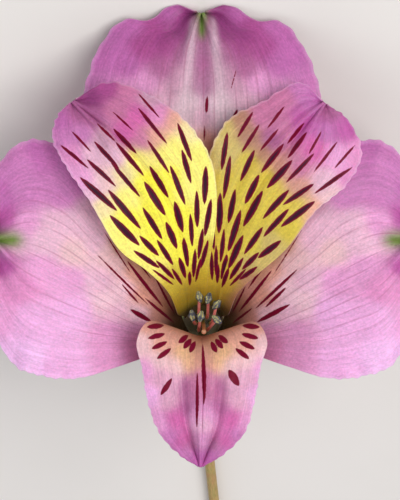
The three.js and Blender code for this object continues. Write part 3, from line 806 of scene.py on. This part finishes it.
def build_tepal(name, tepal, material, slot, vein_reach):
    """One tepal on a fine grid, crowded towards its margin, with relief and a nibbled edge."""
    across = np.linspace(-1, 1, COLUMNS)
    across = np.sign(across) * (1 - (1 - np.abs(across)) ** 1.15)
    s, q = np.meshgrid(np.linspace(0, 1, ROWS), across, indexing="ij")
    claw = CLAW_MARGIN * step_up(s, 0.005, 0.05) * (1 - step_up(s, 0.1, 0.26))
    points = tepal_points(tepal, s, q, (crenate(name, s, q) * np.abs(q) ** 6 + claw) * np.abs(q))
    points[..., 2] += relief(name, s, q)
    height = (points @ np.array([BLOOM_U, BLOOM_V, BLOOM_W]))[..., 2] + THROAT[2] / MM
    points[..., 2] += np.maximum(0, REST_HEIGHT - height) / BLOOM_W[2]
    u, v, w = np.moveaxis(points, -1, 0)
    thickness = PETAL_THICKNESS * (1 - 0.6 * np.abs(q) ** 8) * (1 + 0.9 * bump_at(q, 0, 0.12) * (1 - s))
    front_back, faces = sheet_mesh(points, thickness)

    softness = OUTER_TOP_SOFTNESS if name == "outer_top" else SOFTNESS
    paint = paint_at(tepal["paint"], u, v, softness)
    if name in ("outer_left", "outer_right"):
        point = (bump_at(v, 13.3, 1.3) * step_up(np.abs(u), 26.6, 29.8))[..., None]
        paint = paint * (1 - point) + linear(PETAL_COLOURS["leaf_tip"]) * point
    if name == "outer_top":
        spread = 49 - v
        strip = bump_at(np.abs(u), 1.3 + 0.11 * spread, 0.45 + 0.05 * spread) * step_up(v, 28, 36)
        strip = 0.6 * (strip * (1 - step_up(v, 47, 49)))[..., None]
        paint = paint * (1 - strip) + linear(PETAL_COLOURS["white_pink"]) * strip
        point = (bump_at(u, -0.2, 0.8) * step_up(v, 43.8, 46.4))[..., None]
        paint = paint * (1 - point) + linear(PETAL_COLOURS["leaf_tip"]) * point
    depth_shade = step_up(w, -22, -11)[..., None]
    paint = paint * depth_shade + linear(PETAL_COLOURS["umber"]) * (1 - depth_shade)
    streak = streak_field(lay_streaks(name, tepal), u, v)
    paler = linear(PETAL_COLOURS["pale_pink"])
    keel = (bump_at(q, 0, 0.1) * (1 - 0.4 * s))[..., None]
    back_paint = 0.5 * paint + 0.5 * paler
    back_paint = back_paint * (1 - keel) + linear(PETAL_COLOURS["green_tip"]) * keel
    shown_through = 0.25 * step_up(streak, -0.1, 0.2)[..., None]
    back_paint = back_paint * (1 - shown_through) + linear(STREAK_SHOWN_THROUGH) * shown_through

    # Where the painted highlight lies: along the margin, beyond the claw.
    rim = step_up(np.abs(q), 0.955, 1.0) * step_up(s, 0.35, 0.5)
    veined = step_up(s, *vein_reach[:2]) * (1 - step_up(s, *vein_reach[2:]))
    veined = veined * (1 - 0.9 * step_up(np.abs(q), 0.4, 0.75))
    both = lambda front, back: np.concatenate([front.ravel(), back.ravel()])
    outside = np.full(streak.shape, NO_STREAK)
    core = step_up(s, 0.0, 0.1) if slot == "upper_inner_tepal" else np.zeros(s.shape)
    piece = make_piece(
        f"tepal_{name}", to_row(front_back, THROAT), faces, material,
        values={"streak": both(streak, outside), "rim": both(rim, rim), "core": both(core, core),
                "veined": both(veined, 0.5 * veined)},
        colours={"paint": np.vstack([paint.reshape(-1, 3), back_paint.reshape(-1, 3)])},
        flat_map=np.vstack([np.dstack([q / 2 + 0.5, s]).reshape(-1, 2)] * 2),
    )
    return finished(piece, name)


def build_tepals():
    outer = petal_finish("outer_petal", "a4587c", 0.42, 20.0)
    upper = petal_finish("upper_inner_petal", "c07a50", 0.25, 22.0)
    lower = petal_finish("lower_inner_petal", "b0508c", 0.35, 24.0)
    shapes = dict(TEPALS, outer_right=mirrored(TEPALS["outer_left"]))
    for name, tepal in shapes.items():
        if name.startswith("outer"):
            build_tepal(name, tepal, outer, "outer_tepal", (0.15, 0.35, 0.85, 1.0))
        elif name.startswith("inner_upper"):
            build_tepal(name, tepal, upper, "upper_inner_tepal", (0.3, 0.5, 0.9, 1.0))
        else:
            build_tepal(name, tepal, lower, "lower_inner_tepal", (0.3, 0.5, 0.9, 1.0))


# ---- stamens and style ----
def ring_point(radius, clock):
    angle = math.radians(clock)
    return radius * math.cos(angle), radius * math.sin(angle)


def rod_map(rows, columns):
    around, along = np.meshgrid(np.arange(columns) / columns, np.linspace(0, 1, rows))
    return np.dstack([around, along]).reshape(-1, 2), along


def build_thread(name, node, path_points, diameter, material, flare):
    """A tapering thread along a smooth path: thicker at its foot, and flared by so much of its
    radius at its tip."""
    rows, columns = 60, 16
    t = np.linspace(0, 1, rows)
    radius = diameter / 2 * (1.1 - 0.35 * t + flare * step_up(t, 0.9, 1.0))
    radius *= step_up(1.02 - t, 0, 0.03)
    path = smooth(path_points, t)
    flat_map, along = rod_map(rows, columns)
    points, faces = rod_mesh(path, np.repeat(radius[:, None], columns, 1), (0.3, 1.0, 0.1))
    piece = make_piece(name, to_row(points, THROAT), faces, material,
                       values={"along": along}, flat_map=flat_map)
    return finished(piece, node)


def build_anther(index, place, turn, material):
    """An anther of two lobes: rings along its length whose radius swells and closes like a bean,
    wider across its face, with a groove down the front and back."""
    rows, columns = 36, 32
    t = np.linspace(0.015, 0.985, rows)[:, None]
    around = np.linspace(0, 2 * math.pi, columns, endpoint=False)[None, :]
    long_shape = np.sin(math.pi * t) ** 0.55 * (1 + 0.12 * np.cos(4 * math.pi * t))
    lobes = 1 + 0.17 * np.cos(2 * around) - 0.22 * np.exp(-((np.sin(around) ** 2 - 1) / 0.16) ** 2)
    radius = ANTHER_WIDTH / 2 * long_shape * lobes
    lean = math.radians(turn)
    direction = np.array([-math.sin(lean), math.cos(lean), 0.25 * math.sin(index * 2.1)])
    direction /= np.linalg.norm(direction)
    bow = 0.16 * np.sin(math.pi * t[:, 0])
    path = np.array(place) + np.outer(t[:, 0] - 0.5, direction) * ANTHER_LENGTH
    path[:, 2] += bow
    seam = np.exp(-((np.cos(around) ** 2 - 0.35) / 0.25) ** 2) * np.ones_like(t)
    flat_map, _ = rod_map(rows, columns)
    points, faces = rod_mesh(path, radius, (0.0, 0.0, 1.0))
    piece = make_piece(f"anther_lobes_{index}", to_row(points, THROAT), faces, material,
                       values={"seam": seam}, flat_map=flat_map)
    return finished(piece, f"anther_{index}")


def build_stamens():
    thread = filament_finish("filament_salmon", "a9b45a", "e08a80")
    style_skin = filament_finish("style_olive", "7c8438", "c4926a")
    pollen = anther_finish()
    foot = OVARY_TOP + JOIN_GAP
    for i, (place, turn) in enumerate(ANTHERS):
        ring, bundle = ring_point(FILAMENT_RING, 60 * i), ring_point(BUNDLE_RING, 60 * i)
        behind = (place[0], place[1], place[2] - ANTHER_WIDTH / 2 + 0.1)
        path = [(*ring, foot - JOIN_GAP), (*bundle, foot * 0.6),
                (bundle[0] * 1.2, bundle[1] * 1.1 + 0.2, foot * 0.25), behind]
        build_thread(f"stamen_thread_{i + 1}", f"filament_{i + 1}", path, 0.56, thread, 0.0)
        build_anther(i + 1, place, turn, pollen)
    path = [(0, 0, foot - JOIN_GAP), (0, 0, foot * 0.6), (0.1, -0.4, foot * 0.25), (0.1, -1.1, 0.2)]
    build_thread("style_thread", "style", path, 0.7, style_skin, 0.4)


# ---- ovary and stem ----
def build_ovary():
    """A top-shaped ovary: its radius rises from the neck as a quarter sine to the shoulder and
    rounds over, with six ribs that fade at both ends."""
    rows, columns = 60, 96
    t = np.linspace(0, 1, rows)[:, None]
    around = np.linspace(0, 2 * math.pi, columns, endpoint=False)[None, :]
    body = OVARY_NECK * 0.86 + (OVARY_SHOULDER - OVARY_NECK * 0.86) * np.sin(t * math.pi / 2)
    body = body * (1 - 0.14 * step_up(t, 0.93, 1.0) ** 2)
    ribs = 0.2 * (np.abs(np.cos(3 * around)) * 2 - 1.4) * np.sin(math.pi * np.clip(t, 0.05, 0.93))
    length = OVARY_LENGTH + JOIN_GAP
    path = np.zeros((rows, 3))
    path[:, 2] = OVARY_TOP - OVARY_LENGTH - JOIN_GAP + t[:, 0] * length
    flat_map, along = rod_map(rows, columns)
    points, faces = rod_mesh(path, body + ribs, (0.0, 1.0, 0.0))
    # The ovary's top end is painted dark umber: painted shade where it sits deep in the throat.
    skin = green_finish("ovary_skin", "96a65a", "66803a", "9a5560", 0.5, "4a4014", 0.42)
    piece = make_piece("ovary_ribbed", to_row(points, THROAT), faces, skin,
                       values={"end": step_up(along, 0.97, 1.0)}, flat_map=flat_map)
    return finished(piece, "ovary")


def stem_middle(along):
    """The middle of the lying stem, in metres: straight along +Y with one soft bow sideways, as
    high above the ground as the CAD stem's underside and half a stem more."""
    start = THROAT + BLOOM_W * (OVARY_TOP - OVARY_LENGTH - JOIN_GAP) * MM
    along = np.asarray(along, float)
    x = THROAT[0] - STEM_SWAY * MM * np.sin(math.pi * along / STEM_LENGTH) ** 2
    y = start[1] + (BEND_REACH + along) * MM
    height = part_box("stem")[0][2] + STEM_DIAMETER / 2 * MM
    return np.stack([x, y, np.full(along.shape, height)], -1)


def build_stem():
    """The bend is a cubic from the ovary's end into the lying stem; rings along both swell a
    little at the leaf joints, and the far end is cut with a slightly sunken middle."""
    top = THROAT + BLOOM_W * (OVARY_TOP - OVARY_LENGTH) * MM
    lie = stem_middle(0.0)
    reach = BEND_REACH * MM
    corners = [top, top - BLOOM_W * reach * 0.4, lie - np.array([0, reach * 0.5, 0]), lie]
    t = np.linspace(0, 1, 40)[:-1, None]
    bend = (
        (1 - t) ** 3 * corners[0] + 3 * t * (1 - t) ** 2 * corners[1]
        + 3 * t * t * (1 - t) * corners[2] + t**3 * corners[3]
    )
    along = np.linspace(0, STEM_LENGTH, 200)
    path = np.vstack([bend, stem_middle(along)])
    place = np.concatenate([np.linspace(-BEND_REACH, 0, 40)[:-1], along])
    columns = 28
    around = np.linspace(0, 2 * math.pi, columns, endpoint=False)
    radius = np.full(place.shape, 0.88 * STEM_DIAMETER / 2)
    for from_end, *_ in LEAVES:
        radius = radius + 0.1 * bump_at(place, STEM_LENGTH - from_end, 1.3)
    radius = radius * (0.9 + 0.1 * step_up(place, -BEND_REACH, 10))
    ridged = radius[:, None] * (1 + 0.02 * np.cos(7 * around)[None, :])
    end_rings = [0.9, 0.55, 0.2]
    sunk = path[-1] - np.array([[0, 0, 0], [0, 0.1, 0], [0, 0.22, 0]]) * MM
    path = np.vstack([path, sunk])
    ridged = np.vstack([ridged, [ridged[-1] * share for share in end_rings]])
    body_rows = len(place)
    tangent_path = path.copy()
    tangent_path[body_rows:] = path[body_rows - 1] + np.outer(np.arange(1, 4), [0, MM * 0.01, 0])
    points, faces = rod_mesh(tangent_path, ridged * MM, (1.0, 0.0, 0.0))
    points = points.reshape(len(path), columns, 3) + (path - tangent_path)[:, None]
    flat_map, _ = rod_map(len(path), columns)
    cut = np.zeros((len(path), columns))
    cut[body_rows:] = 1.0
    skin = green_finish("stem_skin", "bfa069", "9c9052", "b8805c", 0.5, "d5d3a0", 0.4)
    piece = make_piece("stem_whole", points.reshape(-1, 3), faces, skin,
                       values={"end": cut}, flat_map=flat_map * [1, 12])
    return finished(piece, "stem")


# ---- leaves ----
LEAF_STAND_OFF = 1.5  # how far the blade moves out from the stem beyond its foot


def leaf_points(leaf, s, q):
    """A leaf over s from foot to tip and q across, in metres: its midrib runs out at an angle that
    drifts with s, and its height is the line from the stem to the ground plus a hump. The blade
    turns over once in its first fifth, lifts its edges a little and waves gently."""
    from_end, side, length, half, angle, curl, arch = leaf
    heading = np.radians(angle + curl * s * 0.5)
    foot = stem_middle(STEM_LENGTH - from_end) / MM
    reach = length * (s + 0.012) - 0.02 * length
    stand_off = LEAF_STAND_OFF * step_up(s, 0, 0.25)
    x = foot[0] + side * (0.85 * STEM_DIAMETER / 2 + stand_off + np.sin(heading) * reach)
    y = foot[1] - np.cos(heading) * reach
    rest = TEPAL_THICKNESS / 2
    hump = arch * np.sin(math.pi * np.minimum(1, s / 0.7)) ** 2
    z = foot[2] + (rest - foot[2]) * np.minimum(1, s / 0.5) + hump
    blade = np.sin(math.pi * np.clip(s, 0, 1) ** 0.85) ** 0.8
    width = 0.75 * (1 - s) + half * blade + 0.12 * s
    twist = math.pi * step_up(s, 0.02, 0.22)
    x = x - q * width * np.cos(twist) * np.cos(heading)
    y = y - side * q * width * np.cos(twist) * np.sin(heading)
    fold = 0.12 * width * np.abs(q) * s
    wave = 0.12 * np.sin(19 * s + 2 * np.sign(q)) * q**2 * step_up(s, 0.3, 0.5) * (1 - step_up(s, 0.5, 0.7))
    z = z + q * width * np.sin(twist) + fold + wave
    return np.dstack([x, y, np.maximum(z, REST_HEIGHT)]) * MM


def build_leaves():
    skin = leaf_finish()
    rows, columns = 150, 44
    s, q = np.meshgrid(np.linspace(0, 1, rows), np.linspace(-1, 1, columns), indexing="ij")
    for i, leaf in enumerate(LEAVES):
        thickness = (0.42 + 0.5 * bump_at(q, 0, 0.1) * (1 - s)) * (1 - 0.5 * np.abs(q) ** 6) * MM
        points, faces = sheet_mesh(leaf_points(leaf, s, q), thickness)
        dry = step_up(s, 0.955, 1.0)
        piece = make_piece(f"leaf_blade_{i + 1}", points, faces, skin,
                           values={"dry": np.concatenate([dry.ravel()] * 2)},
                           flat_map=np.vstack([np.dstack([q / 2 + 0.5, s]).reshape(-1, 2)] * 2))
        finished(piece, f"leaf_{i + 1}")


# ---- floor, light and camera ----
FLOOR_WIDTH = 4.0  # in metres


def build_floor():
    half = FLOOR_WIDTH / 2
    corners = np.array([[-half, -half, 0], [half, -half, 0], [half, half, 0], [-half, half, 0]])
    make_piece("floor", corners, np.array([[0, 1, 2, 3]]), floor_finish())


def add_light(name, direction, distance, size, watts, colour):
    """A square soft light that faces the bloom."""
    data = bpy.data.lights.new(name, "AREA")
    data.size = size
    data.energy = watts
    data.color = colour
    lamp = bpy.data.objects.new(name, data)
    bpy.context.scene.collection.objects.link(lamp)
    away = Vector(direction).normalized()
    lamp.location = Vector(THROAT) + away * distance
    lamp.rotation_mode = "QUATERNION"
    lamp.rotation_quaternion = away.to_track_quat("Z", "Y")


def build_light():
    """Soft studio light: a broad key in front of the bloom and to its right, a fill on
    its left and a top light, in a pale surround."""
    key = BLOOM_W * 0.9 - BLOOM_V * 0.04 + BLOOM_U * 0.4
    add_light("key", key, 0.8, 0.5, 4.6, (1.0, 0.985, 0.96))
    fill = BLOOM_W * 0.8 - BLOOM_U * 0.7
    add_light("fill", fill, 0.9, 0.9, 1.6, (0.97, 0.98, 1.0))
    add_light("top", (0.0, 0.3, 1.0), 1.0, 0.9, 1.8, (1.0, 1.0, 1.0))
    world = bpy.data.worlds.new("studio")
    bpy.context.scene.world = world
    world.use_nodes = True
    world.node_tree.nodes["Background"].inputs["Color"].default_value = (0.93, 0.95, 1.0, 1.0)
    world.node_tree.nodes["Background"].inputs["Strength"].default_value = 0.27


FIELD_HEIGHT = 78.0  # of the picture at the mouth of the throat, in millimetres
CAMERA_DISTANCE = 500.0
AIM_U, AIM_V = -0.5, 11.7  # the middle of the picture, in the bloom's own axes
SENSOR = 36.0


def build_camera():
    """Looks straight down the bloom's axis, with the top tepal at the top."""
    data = bpy.data.cameras.new("camera")
    data.sensor_width = SENSOR
    data.lens = SENSOR * CAMERA_DISTANCE / FIELD_HEIGHT
    data.clip_start, data.clip_end = 0.01, 10.0
    camera = bpy.data.objects.new("camera", data)
    bpy.context.scene.collection.objects.link(camera)
    aim = THROAT + (BLOOM_U * AIM_U + BLOOM_V * AIM_V) * MM
    turn = np.column_stack([BLOOM_U, BLOOM_V, BLOOM_W])
    place = Matrix(turn.tolist()).to_4x4()
    place.translation = Vector(aim + BLOOM_W * CAMERA_DISTANCE * MM)
    camera.matrix_world = place
    bpy.context.scene.camera = camera


build_camera()
build_tepals()
build_stamens()
build_ovary()
build_stem()
build_leaves()
build_floor()
build_light()
bpy.context.scene.view_settings.view_transform = "Standard"
